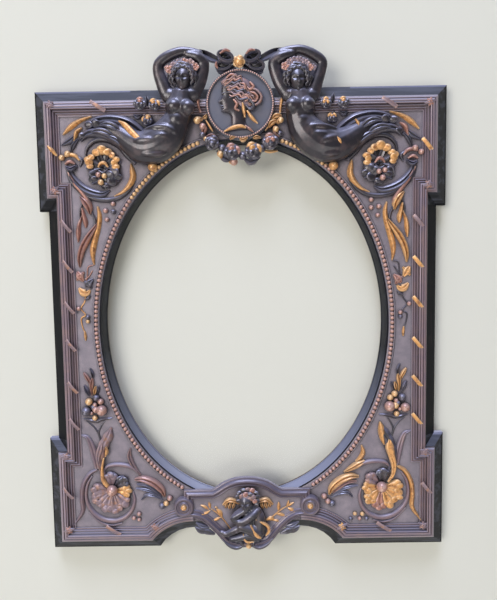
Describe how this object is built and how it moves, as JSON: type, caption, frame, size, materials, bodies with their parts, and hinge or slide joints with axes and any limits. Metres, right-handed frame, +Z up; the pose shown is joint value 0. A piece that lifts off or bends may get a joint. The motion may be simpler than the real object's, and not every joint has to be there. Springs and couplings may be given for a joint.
{
  "type": "picture frame",
  "caption": "Eared rectangular frame with an oval glazed opening, bead course, reeded border, crest of paired sirens and a medallion, corner scrolls, foot cartouche and a hanging ring.",
  "frame": {"origin": "centre of the oval opening, in the plane of the boards' backs, which is the wall side", "axes": "+X to the viewer's right, +Z up, the decorated front faces -Y and the back faces +Y"},
  "size_m": [0.376, 0.0392, 0.4647],
  "materials": {
    "ebonised_wood": "satin",
    "navy_slip": "satin",
    "plain_wood": "matte",
    "glass": "polished",
    "bronze_ground": "satin",
    "dark_bronze": "satin",
    "copper_bronze": "satin",
    "gilding": "satin",
    "hanger_brass": "satin",
    "steel": "satin"
  },
  "bodies": {
    "frame": {"top_rail": "ebonised_wood", "bottom_rail": "ebonised_wood", "left_stile": "ebonised_wood", "right_stile": "ebonised_wood", "sight_slip": "navy_slip", "glass_pane": "glass", "glazing_fillet": "plain_wood", "button_screws": "steel", "hanger_plate": "hanger_brass", "hanger_screws": "steel", "ground_plate": "bronze_ground", "bead_band": "copper_bronze", "bead_course": "copper_bronze", "border_top": "dark_bronze", "border_left": "copper_bronze", "border_right": "copper_bronze", "border_foot_left": "dark_bronze", "border_foot_right": "dark_bronze", "medallion_plate": "dark_bronze", "cameo_bust": "copper_bronze", "ribbon_bow": "dark_bronze", "bow_knob": "gilding", "rose_garland": "dark_bronze", "cartouche_plate": "dark_bronze", "boss_left": "dark_bronze", "boss_right": "dark_bronze", "cupid_figure": "copper_bronze", "cupid_wings": "gilding", "olive_spray_left": "gilding", "olive_spray_right": "gilding", "siren_left": "dark_bronze", "siren_right": "dark_bronze", "upper_scroll_left": "dark_bronze", "upper_scroll_right": "dark_bronze", "upper_rosette_left": "gilding", "upper_rosette_right": "gilding", "leaf_pendant_left": "dark_bronze", "leaf_pendant_right": "dark_bronze", "lower_scroll_left": "dark_bronze", "lower_scroll_right": "dark_bronze", "lower_rosette_left": "copper_bronze", "lower_rosette_right": "copper_bronze", "foot_branch_left": "copper_bronze", "foot_branch_right": "copper_bronze", "vine_left": "copper_bronze", "vine_right": "copper_bronze", "fruit_bouquet_left": "dark_bronze", "fruit_bouquet_right": "dark_bronze", "rose_spray_left": "dark_bronze", "rose_spray_right": "dark_bronze", "gilt_stud_left": "gilding", "gilt_stud_right": "gilding"},
    "button_1": {"turn_button_1": "hanger_brass"},
    "button_2": {"turn_button_2": "hanger_brass"},
    "button_3": {"turn_button_3": "hanger_brass"},
    "button_4": {"turn_button_4": "hanger_brass"},
    "ring": {"hanging_ring": "hanger_brass"}
  },
  "joints": [
    {"name": "button_turn_1", "type": "hinge", "parent": "frame", "child": "button_1", "pos_m": [0.10943, 0.0009, 0.11333], "axis": [0, 1, 0], "continuous": true},
    {"name": "button_turn_2", "type": "hinge", "parent": "frame", "child": "button_2", "pos_m": [-0.10943, 0.0009, 0.11333], "axis": [0, 1, 0], "continuous": true},
    {"name": "button_turn_3", "type": "hinge", "parent": "frame", "child": "button_3", "pos_m": [-0.10943, 0.0009, -0.11333], "axis": [0, 1, 0], "continuous": true},
    {"name": "button_turn_4", "type": "hinge", "parent": "frame", "child": "button_4", "pos_m": [0.10943, 0.0009, -0.11333], "axis": [0, 1, 0], "continuous": true},
    {"name": "ring_swing", "type": "hinge", "parent": "frame", "child": "ring", "pos_m": [0, 0.00245, 0.206], "axis": [1, 0, 0], "range_deg": [0, 180]}
  ]
}
